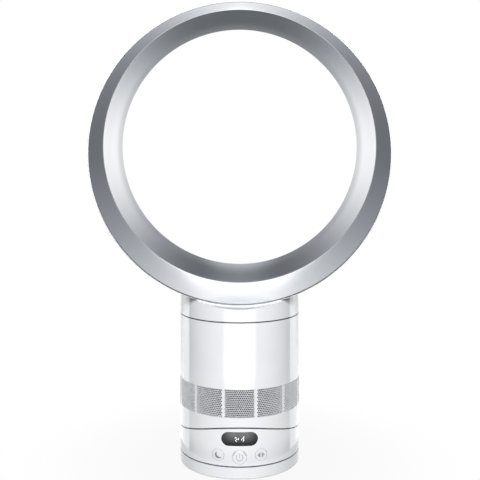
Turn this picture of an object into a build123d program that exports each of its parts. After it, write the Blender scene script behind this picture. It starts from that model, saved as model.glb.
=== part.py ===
from build123d import *
import os
from math import acos, cos, pi, radians, sin, sqrt, tan

# A bladeless desk fan: foot, turning control section, tilting body and an eccentric loop.
# Millimetres, +Z up, the front faces -Y. The origin is the centre of the underside, on the floor.

# ---- Walls and clearances -----------------------------------------------------------------------
shell = 2.5  # wall of the outer shells and of the plates
thin = 1.6  # circuit boards and vanes
shadow_gap = 0.8  # dark groove between neighbouring shells
slip = 0.2  # a plate or ring inside a shell
running = 0.3  # pieces that move past each other
journal = 0.05  # a shaft in its bush, bearing or hole

# ---- Base: one straight cylinder of foot, control section, body and neck --------------------------
base_radius = 73.0
foot_groove_z = 16.0
saddle_rise = 44.87  # from the foot's groove to the saddle's groove, at the front and the rear
saddle_radius = 180.0
grille_rise = 7.6  # from the lower ledge to the intake
grille_height = 32.7
grille_panels = 12
panel_rib = 2.0  # solid strip between two panels
neck_rise = 33.8  # from the impeller to the neck's groove
loop_rise = 16.2  # from the neck's groove to the loop's lowest point

# ---- Foot -----------------------------------------------------------------------------------------
pad_proud = 1.5
pad_recess = 1.0
pad_radius = 6.5
pad_inset = 10.5
pad_count = 6
foot_round = 1.5
deck_z = 8.5
post_radius = 11.0
post_wall = 3.5
post_shoulder = 5.0
glide_inset = 8.5
glide_width = 5.0
glide_thickness = 2.5
stop_pin_radius = 2.5
stop_pin_inset = 14.0  # inside the glide ring
boss_radius = 4.0
cord_bore = 3.2
grommet_radius = 4.5
grommet_flange = 1.0

# ---- Swing and its drive --------------------------------------------------------------------------
swing_limit = 45.0
lip = 1.6  # inner flange under the control section
lip_width = 6.5
bush_wall = 2.0
bush_flange = 2.0
hub_height = 5.0
hub_wall = 5.0
circlip_thickness = 1.2
circlip_depth = 1.0
circlip_width = 4.5
post_tip = 1.5
gear_teeth = 48
pinion_teeth = 16
pinion_room = 5.75  # from the pinion to the glide ring
tooth_play = 0.3
gear_ring_width = 6.0
spindle_radius = 2.5
motor_can_radius = 14.0
motor_can_height = 19.0

# ---- Tilt -------------------------------------------------------------------------------------------
tilt_limit = 10.0
hook_half_angle = 5.0
hook_x = 30.0
hook_neck = 5.0
hook_foot = 12.0
hook_thickness = 2.0
tilt_glide_x = 47.0
tilt_glide_width = 6.0
tilt_glide_height = 0.5
column_inset = 6.0  # inside the glide ring
column_angle = 25.5
column_radius = 4.0
wire_hole_radius = 8.0

# ---- Display and buttons ----------------------------------------------------------------------------
display_rise = 32.1  # heights above the foot's groove
power_rise = 11.4
side_button_rise = 12.7
display_width = 42.0
display_height = 15.7
lens_thickness = 2.0
light_box_height = 11.0
display_board_depth = 7.0  # behind the front of the shell
standoff_x = 14.0
power_radius = 8.2
side_button_x = 24.8
side_button_radius = 6.6
button_travel = 0.8
button_skirt = 0.6
stem_radius = 2.0
board_depth = 19.0  # behind the front of the shell
board_width = 62.0
board_height = 28.0
board_post = 6.0
board_post_height = 16.0
switch_size = 6.0
switch_height = 3.5
plunger_radius = 1.5
plunger_height = 0.8

# ---- Body --------------------------------------------------------------------------------------------
lower_ledge_rise = 1.8  # above the saddle at the shell
lower_ledge_width = 10.5
foam_height = 9.5
foam_ring_inset = 18.0
power_part_height = 4.0
drive_board_length = 64.0
drive_board_depth = 44.0
board_leg_inset = 4.0
pillar_radius = 4.5
pillar_inset = 5.0
upper_ledge_rise = 1.7  # above the intake
upper_ledge_width = 3.5
collar_ledge_width = 6.5
bellmouth_rise = 6.0
silencer_height = 48.0
silencer_thickness = 7.0
mount_inset = 14.5
mount_radius = 5.0
screw_radius = 1.5
screw_head_radius = 2.75
screw_head_height = 2.0
screw_grip = 4.0

# ---- Impeller, diffuser and motor --------------------------------------------------------------------
duct_wall = 2.0
duct_inset = 7.2  # of the outlet, inside the spigot
duct_flare = 14.6  # from the inlet to the outlet
inlet_gap = 2.5  # from the bellmouth to the impeller
impeller_height = 28.0
hub_nose_radius = 9.0
impeller_blades = 9
blade_thickness = 1.4
blade_sweep = 52.0
tip_gap = 0.5
diffuser_height = 18.0
diffuser_vanes = 11
vane_sweep = 28.0
bucket_inset = 17.0  # width of the air passage round the motor
bucket_wall = 2.0
bucket_height = 21.0
cap_height = 14.0
shaft_radius = 3.0
bearing_radius = 8.0
bearing_height = 5.0
bearing_seat_wall = 2.0
stator_slots = 9
stator_bore_wall = 4.0
rotor_radius = 16.0
rotor_height = 11.0
air_gap = 0.6

# ---- Loop ---------------------------------------------------------------------------------------------
casing_radius = 179.0
eccentricity = 8.0  # the throat and ridge stand this far above the outer edge's axis
loop_width = 30.3  # from the throat to the outer edge
throat_y = 24.0
ridge_flare = 9.7  # from the throat to the ridge
ridge_y = -64.0
white_rim = 2.0  # of the outer casing, outside the silver edge
silver_edge_y = -56.0
silver_wall = 2.0
band_bulge = 1.0
loop_rear_y = 42.0
rear_lip = 2.0  # from the throat to the edge of the rear slot
rear_face_width = 3.3
air_slot = 2.0
nose_width = 5.0
rim_flange_width = 8.0
ledge_gap = 1.0  # the neck's ledge stands this far outside the loop's rim
spacer_count = 12
spacer_width = 2.4
bayonet_lugs = 3
bayonet_turn = 15.0
lug_angle = 20.0
lug_reach = 3.2
lug_height = 3.0
spigot_inset = 10.3
spigot_wall = 2.5
spigot_depth = 9.5
collar_height = 9.0
seal_thickness = 2.0

# ---- Levels and radii that follow ----------------------------------------------------------------------
bore_radius = base_radius - shell
plate_radius = bore_radius - slip
foot_top = foot_groove_z - shadow_gap / 2
control_bottom = foot_groove_z + shadow_gap / 2
tilt_axis_z = foot_groove_z + saddle_rise + sqrt(saddle_radius**2 - base_radius**2)
rim_radius = saddle_radius + shadow_gap / 2
belly_radius = saddle_radius - shadow_gap / 2
body_floor_z = tilt_axis_z - belly_radius
lower_ledge_z = tilt_axis_z - sqrt(belly_radius**2 - bore_radius**2) + lower_ledge_rise
lower_ledge_top = lower_ledge_z + shell
grille_bottom = lower_ledge_top + grille_rise
upper_ledge_z = grille_bottom + grille_height + upper_ledge_rise
upper_ledge_top = upper_ledge_z + shell
duct_floor_top = upper_ledge_top + shell
throat_top = duct_floor_top + bellmouth_rise
impeller_bottom = throat_top + inlet_gap
impeller_top = impeller_bottom + impeller_height
neck_groove_z = impeller_top + neck_rise
body_top = neck_groove_z - shadow_gap / 2
neck_bottom = neck_groove_z + shadow_gap / 2
outer_axis_z = neck_groove_z + loop_rise + casing_radius
inner_axis_z = outer_axis_z + eccentricity
throat_radius = casing_radius - loop_width
ridge_radius = throat_radius + ridge_flare
rear_lip_radius = throat_radius + rear_lip
silver_edge_radius = casing_radius - white_rim
spigot_radius = bore_radius - spigot_inset
outlet_radius = spigot_radius - duct_inset
inlet_radius = outlet_radius - duct_flare
bucket_radius = outlet_radius - bucket_inset
hub_rear_radius = bucket_radius - bucket_wall
pad_circle = bore_radius - pad_inset
glide_radius = bore_radius - glide_inset
stop_pin_circle = glide_radius - stop_pin_inset
column_circle = glide_radius - glide_width - column_inset
column_x = column_circle * cos(radians(column_angle))
column_y = column_circle * sin(radians(column_angle))
gear_module = (glide_radius - glide_width - pinion_room) / (gear_teeth / 2 + pinion_teeth + 1)
foam_ring_radius = bore_radius - foam_ring_inset
mount_circle = bore_radius - mount_inset
display_z = foot_groove_z + display_rise
power_z = foot_groove_z + power_rise
side_button_z = foot_groove_z + side_button_rise
display_board_y = display_board_depth - base_radius
board_y = board_depth - base_radius
foot_floor_top = pad_proud + shell
deck_top = deck_z + shell
swivel_bottom = control_bottom + lip
swivel_top = swivel_bottom + shell
shoulder_z = swivel_bottom - bush_flange - running
hub_top = swivel_top + hub_height
circlip_z = hub_top + running
circlip_top = circlip_z + circlip_thickness
hub_radius = post_radius + journal + bush_wall + hub_wall
gear_top = swivel_bottom - running - slip
gear_radius = gear_module * gear_teeth / 2
pinion_radius = gear_module * pinion_teeth / 2
pinion_y = gear_radius + pinion_radius
pinion_ratio = gear_teeth / pinion_teeth
screw_hole = screw_radius + journal


def save(piece, name):
    """Name one finished piece and write its file."""
    piece.part.label = name
    export_step(piece.part, f"parts/{name}.step")


def saddle_block(inner, outer, half_angle, x_centre, half_width):
    """A block curved about the tilt axis and centred below it."""
    drop = 2 * outer
    reach = drop * tan(radians(half_angle))
    with BuildPart() as block:
        with BuildSketch(Plane.YZ.offset(x_centre - half_width)):
            with Locations((0, tilt_axis_z)):
                Circle(outer)
                Circle(inner, mode=Mode.SUBTRACT)
                Polygon((0, 0), (-reach, -drop), (reach, -drop), align=None, mode=Mode.INTERSECT)
        extrude(amount=2 * half_width)
    return block.part


def round_bar(radius, bottom, top, spots, mode=Mode.ADD):
    """Upright round bars or holes at the given plan positions."""
    with BuildSketch(Plane.XY.offset(bottom)) as plan:
        with Locations(*spots):
            Circle(radius)
    extrude(plan.sketch, amount=top - bottom, mode=mode)


def ring(outer, inner, bottom, top, mode=Mode.ADD):
    """A flat ring about the upright axis."""
    with BuildSketch(Plane.XY.offset(bottom)) as plan:
        Circle(outer)
        if inner > 0:
            Circle(inner, mode=Mode.SUBTRACT)
    extrude(plan.sketch, amount=top - bottom, mode=mode)


def polar_spots(radius, count, start=0.0):
    """Plan positions, evenly spaced on a circle."""
    turns = [radians(start + 360 * number / count) for number in range(count)]
    return [(radius * cos(turn), radius * sin(turn)) for turn in turns]


def screw(head_z, tip_z, spots):
    """Cylinder-head screws; the head lies beyond head_z, on the side away from the tip."""
    direction = 1 if head_z > tip_z else -1
    head_end = head_z + direction * screw_head_height
    round_bar(screw_head_radius, min(head_z, head_end), max(head_z, head_end), spots)
    round_bar(screw_radius, min(head_z, tip_z), max(head_z, tip_z), spots)


def gear_points(teeth, first_turn=0.0):
    """Corners of an involute gear, each flank cut in short straights, tooth_play off each tooth."""
    pitch_radius = gear_module * teeth / 2
    base = pitch_radius * cos(radians(20))
    root = pitch_radius - 1.25 * gear_module
    tip = pitch_radius + gear_module

    def involute(radius):
        slope = acos(min(1, base / radius))
        return tan(slope) - slope

    half_pitch_tooth = pi / (2 * teeth) - tooth_play / (2 * pitch_radius)
    flank = [root, max(root, base), pitch_radius, tip]
    flank = sorted(set(flank))
    half_angles = [half_pitch_tooth + involute(pitch_radius) - involute(radius) for radius in flank]
    corners = []
    for tooth in range(teeth):
        centre = radians(first_turn) + 2 * pi * tooth / teeth
        rising = [(radius, centre - half) for radius, half in zip(flank, half_angles)]
        falling = [(radius, centre + half) for radius, half in zip(flank, half_angles)]
        for radius, turn in rising + falling[::-1]:
            corners.append((radius * cos(turn), radius * sin(turn)))
    return corners


os.makedirs("parts", exist_ok=True)

# ======================================= Foot =========================================================

deck_screw_spots = polar_spots(bore_radius - boss_radius - running, 6)
grommet_z = foot_floor_top + grommet_radius + grommet_flange + slip / 2
gear_bore = gear_radius - 1.25 * gear_module - gear_ring_width
gear_screw_spots = polar_spots(gear_bore + gear_ring_width / 2, 3, 30)

# The foot is a shallow dish with a hollow post in its middle, which carries the swing bearing and
# lets the wires through. Six bosses hold the deck.
with BuildPart() as base_foot:
    ring(base_radius, 0, pad_proud, foot_top)
    fillet(base_foot.edges().group_by(Axis.Z)[0], radius=foot_round)
    ring(bore_radius, 0, foot_floor_top, foot_top, Mode.SUBTRACT)
    round_bar(pad_radius + slip / 2, pad_proud, pad_proud + pad_recess,
              polar_spots(pad_circle, pad_count), Mode.SUBTRACT)
    round_bar(boss_radius, foot_floor_top, deck_z, deck_screw_spots)
    ring(post_radius + post_shoulder, 0, foot_floor_top, shoulder_z)
    ring(post_radius, 0, shoulder_z, circlip_top + post_tip)
    ring(post_radius + circlip_depth, post_radius - circlip_depth, circlip_z, circlip_top, Mode.SUBTRACT)
    ring(post_radius - post_wall, 0, foot_floor_top, circlip_top + post_tip, Mode.SUBTRACT)
    round_bar(screw_hole, deck_z - screw_grip, deck_z, deck_screw_spots, Mode.SUBTRACT)
    with BuildSketch(Plane.XZ.offset(-base_radius)):
        with Locations((0, grommet_z)):
            Circle(grommet_radius + journal)
    extrude(amount=3 * shell, mode=Mode.SUBTRACT)
save(base_foot, "base_foot")

# Six rubber discs, let into the underside.
with BuildPart() as foot_pads:
    round_bar(pad_radius, 0, pad_proud + pad_recess, polar_spots(pad_circle, pad_count))
save(foot_pads, "foot_pads")

# The inlet for the cord: a rubber sleeve through the rear wall with a flange inside.
grommet_flange_y = sqrt(bore_radius**2 - (grommet_radius + grommet_flange) ** 2)
with BuildPart() as cable_grommet:
    with BuildSketch(Plane.XZ.offset(-base_radius)):
        with Locations((0, grommet_z)):
            Circle(grommet_radius)
    extrude(amount=base_radius - grommet_flange_y)
    with BuildSketch(Plane.XZ.offset(-grommet_flange_y)):
        with Locations((0, grommet_z)):
            Circle(grommet_radius + grommet_flange)
    extrude(amount=grommet_flange)
    ring(base_radius, 0, 0, foot_groove_z, Mode.INTERSECT)
    with BuildSketch(Plane.XZ.offset(-base_radius)):
        with Locations((0, grommet_z)):
            Circle(cord_bore)
    extrude(amount=base_radius, mode=Mode.SUBTRACT)
save(cable_grommet, "cable_grommet")

# The deck closes the foot. Its round wall carries the glide ring, and its pin stops the swing.
# A notch at the rear leaves room for the cord.
glide_z = swivel_bottom - running - glide_thickness
notch_width = 2 * (grommet_radius + grommet_flange) + 2
with BuildPart() as foot_deck:
    ring(plate_radius, post_radius + post_shoulder + slip, deck_z, deck_top)
    ring(glide_radius, glide_radius - glide_width, deck_top, glide_z)
    round_bar(stop_pin_radius, deck_top, swivel_top - running, [(0, -stop_pin_circle)])
    round_bar(screw_hole, deck_z, deck_top, deck_screw_spots + gear_screw_spots, Mode.SUBTRACT)
    with BuildSketch(Plane.XY.offset(deck_z)):
        with Locations((0, plate_radius)):
            Rectangle(notch_width, 2 * (plate_radius - glide_radius - 1))
    extrude(amount=shell, mode=Mode.SUBTRACT)
save(foot_deck, "foot_deck")

with BuildPart() as glide_ring:
    ring(glide_radius, glide_radius - glide_width, glide_z, glide_z + glide_thickness)
save(glide_ring, "glide_ring")

# The fixed gear stands on the deck; the pinion of the control section rolls round it.
gear_foot_thickness = 2.0
with BuildPart() as fixed_gear:
    with BuildSketch(Plane.XY.offset(deck_top)):
        Polygon(*gear_points(gear_teeth), align=None)
        Circle(gear_bore, mode=Mode.SUBTRACT)
    extrude(amount=gear_top - deck_top)
    round_bar(screw_hole, deck_top, gear_top, gear_screw_spots, Mode.SUBTRACT)
    round_bar(screw_head_radius + slip, deck_top + gear_foot_thickness, gear_top, gear_screw_spots,
              Mode.SUBTRACT)
save(fixed_gear, "fixed_gear")

# The snap ring keeps the control section from lifting off the post; it is open at the rear.
with BuildPart() as retaining_ring:
    ring(post_radius - circlip_depth + circlip_width, post_radius - circlip_depth, circlip_z, circlip_top)
    with BuildSketch(Plane.XY.offset(circlip_z)):
        with Locations((0, post_radius)):
            Rectangle(post_radius, 2 * circlip_width)
    extrude(amount=circlip_thickness, mode=Mode.SUBTRACT)
save(retaining_ring, "retaining_ring")

with BuildPart() as foot_screws:
    screw(deck_top, deck_top - shell - screw_grip, deck_screw_spots)
    screw(deck_top + gear_foot_thickness, deck_top - shell, gear_screw_spots)
save(foot_screws, "foot_screws")

# ================================== Pinion of the swing drive =====================================

# A tooth of the fixed gear points to the rear, so the pinion is set half a tooth round.
with BuildPart() as drive_pinion:
    with BuildSketch(Plane.XY.offset(deck_top + running)):
        with Locations((0, pinion_y)):
            Polygon(*gear_points(pinion_teeth, 90 + 180 / pinion_teeth), align=None)
            Circle(spindle_radius, mode=Mode.SUBTRACT)
    extrude(amount=gear_top - deck_top - running)
save(drive_pinion, "drive_pinion")

spindle_reach = 8.0
with BuildPart() as drive_spindle:
    round_bar(spindle_radius, deck_top + running, swivel_top + spindle_reach, [(0, pinion_y)])
save(drive_spindle, "drive_spindle")

# ======================================= Control section ============================================

# The drive motor stands on the swivel plate, its spindle pointing down.
motor_ear_reach = 7.0
motor_ear_thickness = 1.0
motor_screw_spots = [(side * (motor_can_radius + motor_ear_reach / 2), pinion_y) for side in (-1, 1)]
with BuildPart() as oscillation_motor:
    round_bar(motor_can_radius, swivel_top, swivel_top + motor_can_height, [(0, pinion_y)])
    with BuildSketch(Plane.XY.offset(swivel_top)):
        with Locations((0, pinion_y)):
            SlotOverall(2 * (motor_can_radius + motor_ear_reach), motor_ear_reach)
    extrude(amount=motor_ear_thickness)
    fillet(oscillation_motor.edges().group_by(Axis.Z)[-1], radius=1)
    round_bar(spindle_radius + journal, swivel_top, swivel_top + spindle_reach + running,
              [(0, pinion_y)], Mode.SUBTRACT)
    round_bar(screw_hole, swivel_top, swivel_top + motor_ear_thickness, motor_screw_spots, Mode.SUBTRACT)
save(oscillation_motor, "oscillation_motor")

# The shell of the control section: an inner lip below, and a saddle-shaped rim above.
buttons = {
    "power_button": (0, power_z, power_radius),
    "sleep_timer_button": (-side_button_x, side_button_z, side_button_radius),
    "oscillation_button": (side_button_x, side_button_z, side_button_radius),
}
housing_screw_spots = polar_spots(bore_radius - lip_width / 2, 4, 45)
with BuildPart() as control_housing:
    ring(base_radius, 0, control_bottom, tilt_axis_z - rim_radius / 2)
    with BuildSketch(Plane.YZ):
        with Locations((0, tilt_axis_z)):
            Circle(rim_radius)
    extrude(amount=base_radius, both=True, mode=Mode.SUBTRACT)
    ring(bore_radius - lip_width, 0, control_bottom, swivel_bottom, Mode.SUBTRACT)
    ring(bore_radius, 0, swivel_bottom, tilt_axis_z, Mode.SUBTRACT)
    with BuildSketch(Plane.XZ):
        with Locations((0, display_z)):
            SlotOverall(display_width + slip, display_height + slip)
        for x, z, radius in buttons.values():
            with Locations((x, z)):
                Circle(radius + running)
    extrude(amount=base_radius, mode=Mode.SUBTRACT)
    round_bar(screw_hole, control_bottom, swivel_bottom, housing_screw_spots, Mode.SUBTRACT)
save(control_housing, "control_housing")

# The swivel plate turns on the post. An arc slot takes the stop pin of the deck, a notch clears the
# power button, and two channelled posts hold the edges of the control board.
column_spots = [(x, y) for x in (-column_x, column_x) for y in (-column_y, column_y)]
board_post_spots = [(side * (board_width / 2 + slip), board_y + thin / 2) for side in (-1, 1)]
stop_slot_radius = stop_pin_radius + running
with BuildPart() as swivel_plate:
    ring(plate_radius, 0, swivel_bottom, swivel_top)
    ring(hub_radius, 0, swivel_top, hub_top)
    ring(post_radius + journal + bush_wall, 0, swivel_bottom, hub_top, Mode.SUBTRACT)
    round_bar(spindle_radius + lip, swivel_bottom, swivel_top, [(0, pinion_y)], Mode.SUBTRACT)
    with BuildSketch(Plane.XY.offset(swivel_bottom)):
        SlotArc(CenterArc((0, 0), stop_pin_circle, -90 - swing_limit, 2 * swing_limit),
                2 * stop_slot_radius)
    extrude(amount=shell, mode=Mode.SUBTRACT)
    with BuildSketch(Plane.XY.offset(swivel_bottom)):
        with Locations((0, -base_radius)):
            Rectangle(2 * (power_radius + running + 2 * button_skirt), 2 * (base_radius + board_y - thin))
    extrude(amount=shell, mode=Mode.SUBTRACT)
    with BuildSketch(Plane.XY.offset(swivel_top)):
        with Locations(*board_post_spots):
            Rectangle(board_post, board_post)
    extrude(amount=board_post_height)
    with BuildSketch(Plane.XY.offset(swivel_top)):
        with Locations((0, board_y + thin / 2)):
            Rectangle(board_width + slip, thin + slip)
    extrude(amount=board_post_height, mode=Mode.SUBTRACT)
    round_bar(screw_hole, swivel_bottom, swivel_top, column_spots + housing_screw_spots + motor_screw_spots,
              Mode.SUBTRACT)
save(swivel_plate, "swivel_plate")

with BuildPart() as swivel_bush:
    ring(post_radius + journal + bush_wall, post_radius + journal, shoulder_z + running, hub_top)
    ring(hub_radius - 1, post_radius + journal, shoulder_z + running, swivel_bottom)
save(swivel_bush, "swivel_bush")

# The cradle is the curved deck under the tilting body. The body's hooks run in its two long slots.
cradle_radius = rim_radius + shell
slot_half_length = cradle_radius * sin(radians(tilt_limit + hook_half_angle)) + 2 * running
cradle_plate = saddle_block(rim_radius, cradle_radius, 2 * hook_half_angle + 2 * tilt_limit, 0, base_radius)
with BuildPart() as tilt_cradle:
    round_bar(column_radius, swivel_top, tilt_axis_z - saddle_radius / 2, column_spots)
    with BuildSketch(Plane.YZ):
        with Locations((0, tilt_axis_z)):
            Circle(rim_radius + shell / 2)
    extrude(amount=base_radius, both=True, mode=Mode.SUBTRACT)
    add(cradle_plate)
    ring(plate_radius, 0, 0, tilt_axis_z, Mode.INTERSECT)
    with BuildSketch(Plane.XY.offset(swivel_top)):
        with Locations((-hook_x, 0), (hook_x, 0)):
            Rectangle(hook_neck + 4 * running, 2 * slot_half_length)
        SlotOverall(slot_half_length, 2 * wire_hole_radius, rotation=90)
    extrude(amount=tilt_axis_z - swivel_top, mode=Mode.SUBTRACT)
    round_bar(screw_hole, swivel_top, swivel_top + 2 * screw_grip, column_spots, Mode.SUBTRACT)
save(tilt_cradle, "tilt_cradle")

# Two low strips of slippery plastic on the cradle.
glide_strips = [
    saddle_block(rim_radius - tilt_glide_height, rim_radius, tilt_limit, side * tilt_glide_x,
                 tilt_glide_width / 2)
    for side in (-1, 1)
]
with BuildPart() as tilt_glides:
    add(glide_strips)
save(tilt_glides, "tilt_glides")

with BuildPart() as control_screws:
    screw(swivel_top, control_bottom + running, housing_screw_spots)
    screw(swivel_top + motor_ear_thickness, swivel_bottom, motor_screw_spots)
    screw(swivel_bottom, swivel_top + 2 * screw_grip, column_spots)
save(control_screws, "control_screws")

# The smoked lens follows the curve of the shell. A box behind it keeps the light of the digits in.
with BuildPart() as display_lens:
    with BuildSketch(Plane.XZ):
        with Locations((0, display_z)):
            SlotOverall(display_width, display_height)
    extrude(amount=base_radius)
    ring(base_radius, base_radius - lens_thickness, 0, tilt_axis_z, Mode.INTERSECT)
save(display_lens, "display_lens")

with BuildPart() as display_light_box:
    with BuildSketch(Plane.XZ.offset(-display_board_y)):
        with Locations((0, display_z)):
            SlotOverall(display_width - 2 * lens_thickness, light_box_height)
            SlotOverall(display_width - 2 * lens_thickness - 2 * thin, light_box_height - 2 * thin,
                        mode=Mode.SUBTRACT)
    extrude(amount=base_radius)
    ring(base_radius - lens_thickness - slip, 0, 0, tilt_axis_z, Mode.INTERSECT)
save(display_light_box, "display_light_box")

with BuildPart() as display_board:
    with BuildSketch(Plane.XZ.offset(-display_board_y)):
        with Locations((0, display_z)):
            Rectangle(display_width - 2 * lens_thickness, light_box_height)
    extrude(amount=-thin)
save(display_board, "display_board")

# An upright board carries the three switches and, on two standoffs, the display board.
standoff_z = swivel_top + board_height - 2 * stem_radius
with BuildPart() as control_board:
    with BuildSketch(Plane.XZ.offset(-board_y)):
        with Locations((0, swivel_top + board_height / 2)):
            Rectangle(board_width, board_height)
    extrude(amount=-thin)
save(control_board, "control_board")

with BuildPart() as display_standoffs:
    with BuildSketch(Plane.XZ.offset(-board_y)):
        with Locations((-standoff_x, standoff_z), (standoff_x, standoff_z)):
            Circle(stem_radius)
    extrude(amount=board_y - display_board_y - thin)
save(display_standoffs, "display_standoffs")

with BuildPart() as button_switches:
    with BuildSketch(Plane.XZ.offset(-board_y)):
        for x, z, radius in buttons.values():
            with Locations((x, z)):
                Rectangle(switch_size, switch_size)
    extrude(amount=switch_height)
    with BuildSketch(Plane.XZ.offset(switch_height - board_y)):
        for x, z, radius in buttons.values():
            with Locations((x, z)):
                Circle(plunger_radius)
    extrude(amount=plunger_height)
save(button_switches, "button_switches")

# ============================================ Buttons ===============================================

# Each button is a round cap cut to the curve of the shell, a skirt behind the wall that keeps it in,
# and a stem that meets its switch.
plunger_y = -board_y + switch_height + plunger_height
for name, (x, z, radius) in buttons.items():
    skirt_radius = radius + running + button_skirt
    skirt_y = sqrt(bore_radius**2 - (abs(x) + skirt_radius) ** 2) - running
    with BuildPart() as button:
        with BuildSketch(Plane.XZ.offset(skirt_y)):
            with Locations((x, z)):
                Circle(radius)
        extrude(amount=base_radius - skirt_y)
        ring(base_radius, 0, 0, tilt_axis_z, Mode.INTERSECT)
        with BuildSketch(Plane.XZ.offset(skirt_y)):
            with Locations((x, z)):
                Circle(skirt_radius)
        extrude(amount=-button_skirt)
        with BuildSketch(Plane.XZ.offset(plunger_y + button_travel + running)):
            with Locations((x, z)):
                Circle(stem_radius)
        extrude(amount=skirt_y - plunger_y - button_travel - running)
    save(button, name)

# ============================================= Body ==================================================

collar_z = body_top - collar_height
ledges = {
    lower_ledge_z: lower_ledge_width,
    upper_ledge_z: upper_ledge_width,
    collar_z - shell: collar_ledge_width,
}
panel_angle = 360 / grille_panels - 180 * panel_rib / (pi * base_radius)
pillar_spots = polar_spots(bore_radius - pillar_inset, 4, 45)
collar_screw_spots = polar_spots(bore_radius - upper_ledge_width, 3, 30)


def sectors(outer, inner, angle, count, start, bottom, top, mode=Mode.ADD):
    """Equal blocks of a ring about the upright axis, each as wide as angle."""
    half = radians(angle / 2)
    near = inner / 2
    far = 2 * outer
    corners = [
        (near * cos(half), -near * sin(half)),
        (far * cos(half), -far * sin(half)),
        (far * cos(half), far * sin(half)),
        (near * cos(half), near * sin(half)),
    ]
    with BuildSketch(Plane.XY.offset(bottom)) as plan:
        with PolarLocations(0, count, start_angle=start):
            Polygon(*corners, align=None)
        Circle(outer, mode=Mode.INTERSECT)
        Circle(inner, mode=Mode.SUBTRACT)
    extrude(plan.sketch, amount=top - bottom, mode=mode)


# The body casing has twelve windows for the intake and three inner ledges. Its lower rim follows the
# saddle.
with BuildPart() as body_casing:
    ring(base_radius, bore_radius, body_floor_z, body_top)
    for ledge_z, width in ledges.items():
        ring(bore_radius, bore_radius - width, ledge_z, ledge_z + shell)
    sectors(base_radius + 1, bore_radius - slip, panel_angle, grille_panels, -90, grille_bottom,
            grille_bottom + grille_height, Mode.SUBTRACT)
    with BuildSketch(Plane.YZ):
        with Locations((0, tilt_axis_z)):
            Circle(belly_radius)
    extrude(amount=base_radius, both=True, mode=Mode.INTERSECT)
    round_bar(screw_hole, lower_ledge_z, lower_ledge_top, pillar_spots, Mode.SUBTRACT)
    round_bar(screw_hole, collar_z - shell, collar_z, collar_screw_spots, Mode.SUBTRACT)
save(body_casing, "body_casing")

# The intake is a sleeve between two ledges, with twelve raised panels that fill the windows flush.
sleeve_wall = 1.5
panel_play = 360 * slip / (2 * pi * base_radius)
with BuildPart() as intake_grille:
    ring(plate_radius, plate_radius - sleeve_wall, lower_ledge_top, upper_ledge_z)
    sectors(base_radius, plate_radius - sleeve_wall, panel_angle - panel_play, grille_panels, -90,
            grille_bottom + slip / 2, grille_bottom + grille_height - slip / 2)
save(intake_grille, "intake_grille")

# The tilt plate is the floor of the body. Its hooks reach through the slots of the cradle and under
# its deck, pillars join it to the casing, and a round wall carries the foam.
foam_z = lower_ledge_z - thin
drive_board_z = foam_z - thin - power_part_height - running
leg_x = drive_board_length / 2 - board_leg_inset
leg_y = drive_board_depth / 2 - board_leg_inset
board_leg_spots = [(x, y) for x in (-leg_x, leg_x) for y in (-leg_y, leg_y)]
hook_radius = cradle_radius + running
floor_plate = saddle_block(belly_radius - shell, belly_radius, 3 * tilt_limit, 0, base_radius)
hooks = []
for x in (-hook_x, hook_x):
    hooks.append(saddle_block(belly_radius - slip, hook_radius, hook_half_angle, x, hook_neck / 2))
    hooks.append(saddle_block(hook_radius, hook_radius + hook_thickness, hook_half_angle, x, hook_foot / 2))
with BuildPart() as tilt_plate:
    ring(foam_ring_radius, foam_ring_radius - shell, body_floor_z, foam_z)
    round_bar(pillar_radius, body_floor_z, lower_ledge_z, pillar_spots)
    round_bar(spindle_radius, body_floor_z, drive_board_z, board_leg_spots)
    with BuildSketch(Plane.YZ):
        with Locations((0, tilt_axis_z)):
            Circle(belly_radius - shell / 2)
    extrude(amount=base_radius, both=True, mode=Mode.INTERSECT)
    add(floor_plate)
    ring(plate_radius, 0, 0, lower_ledge_z, Mode.INTERSECT)
    add(hooks)
    round_bar(wire_hole_radius, 0, foam_z, [(0, 0)], Mode.SUBTRACT)
    round_bar(screw_hole, lower_ledge_z - screw_grip, lower_ledge_z, pillar_spots, Mode.SUBTRACT)
save(tilt_plate, "tilt_plate")

# The drive board lies under the foam, with its choke, capacitors and heat sink.
with BuildPart() as drive_board:
    with BuildSketch(Plane.XY.offset(drive_board_z)):
        Rectangle(drive_board_length, drive_board_depth)
    extrude(amount=thin)
save(drive_board, "drive_board")

with BuildPart() as power_parts:
    with BuildSketch(Plane.XY.offset(drive_board_z + thin)):
        with Locations((-drive_board_length / 4, 0)):
            Rectangle(drive_board_depth / 3, drive_board_depth / 2)
        with Locations((drive_board_length / 8, drive_board_depth / 4)):
            SlotOverall(drive_board_depth / 2, drive_board_depth / 4)
        with Locations((drive_board_length / 8, -drive_board_depth / 4)):
            SlotOverall(drive_board_depth / 2, drive_board_depth / 4)
        with Locations((3 * drive_board_length / 8, 0)):
            Rectangle(drive_board_length / 16, 3 * drive_board_depth / 4)
    extrude(amount=power_part_height)
save(power_parts, "power_parts")

with BuildPart() as intake_foam:
    ring(bore_radius - lower_ledge_width - slip, 0, foam_z, foam_z + foam_height)
save(intake_foam, "intake_foam")

# The bellmouth floor rests on the upper ledge and leads the air up into the impeller.
with BuildPart() as inlet_bellmouth:
    with BuildSketch(Plane.XZ):
        with BuildLine():
            lower = (inlet_radius + bellmouth_rise + shell, upper_ledge_top)
            upper = (inlet_radius + duct_wall + bellmouth_rise, duct_floor_top)
            Polyline(lower, (plate_radius, upper_ledge_top), (plate_radius, duct_floor_top), upper)
            TangentArc(upper, (inlet_radius + duct_wall, throat_top), tangent=(-1, 0))
            Line((inlet_radius + duct_wall, throat_top), (inlet_radius, throat_top))
            TangentArc((inlet_radius, throat_top), lower, tangent=(0, -1))
        make_face()
    revolve(axis=Axis.Z)
save(inlet_bellmouth, "inlet_bellmouth")

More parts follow.
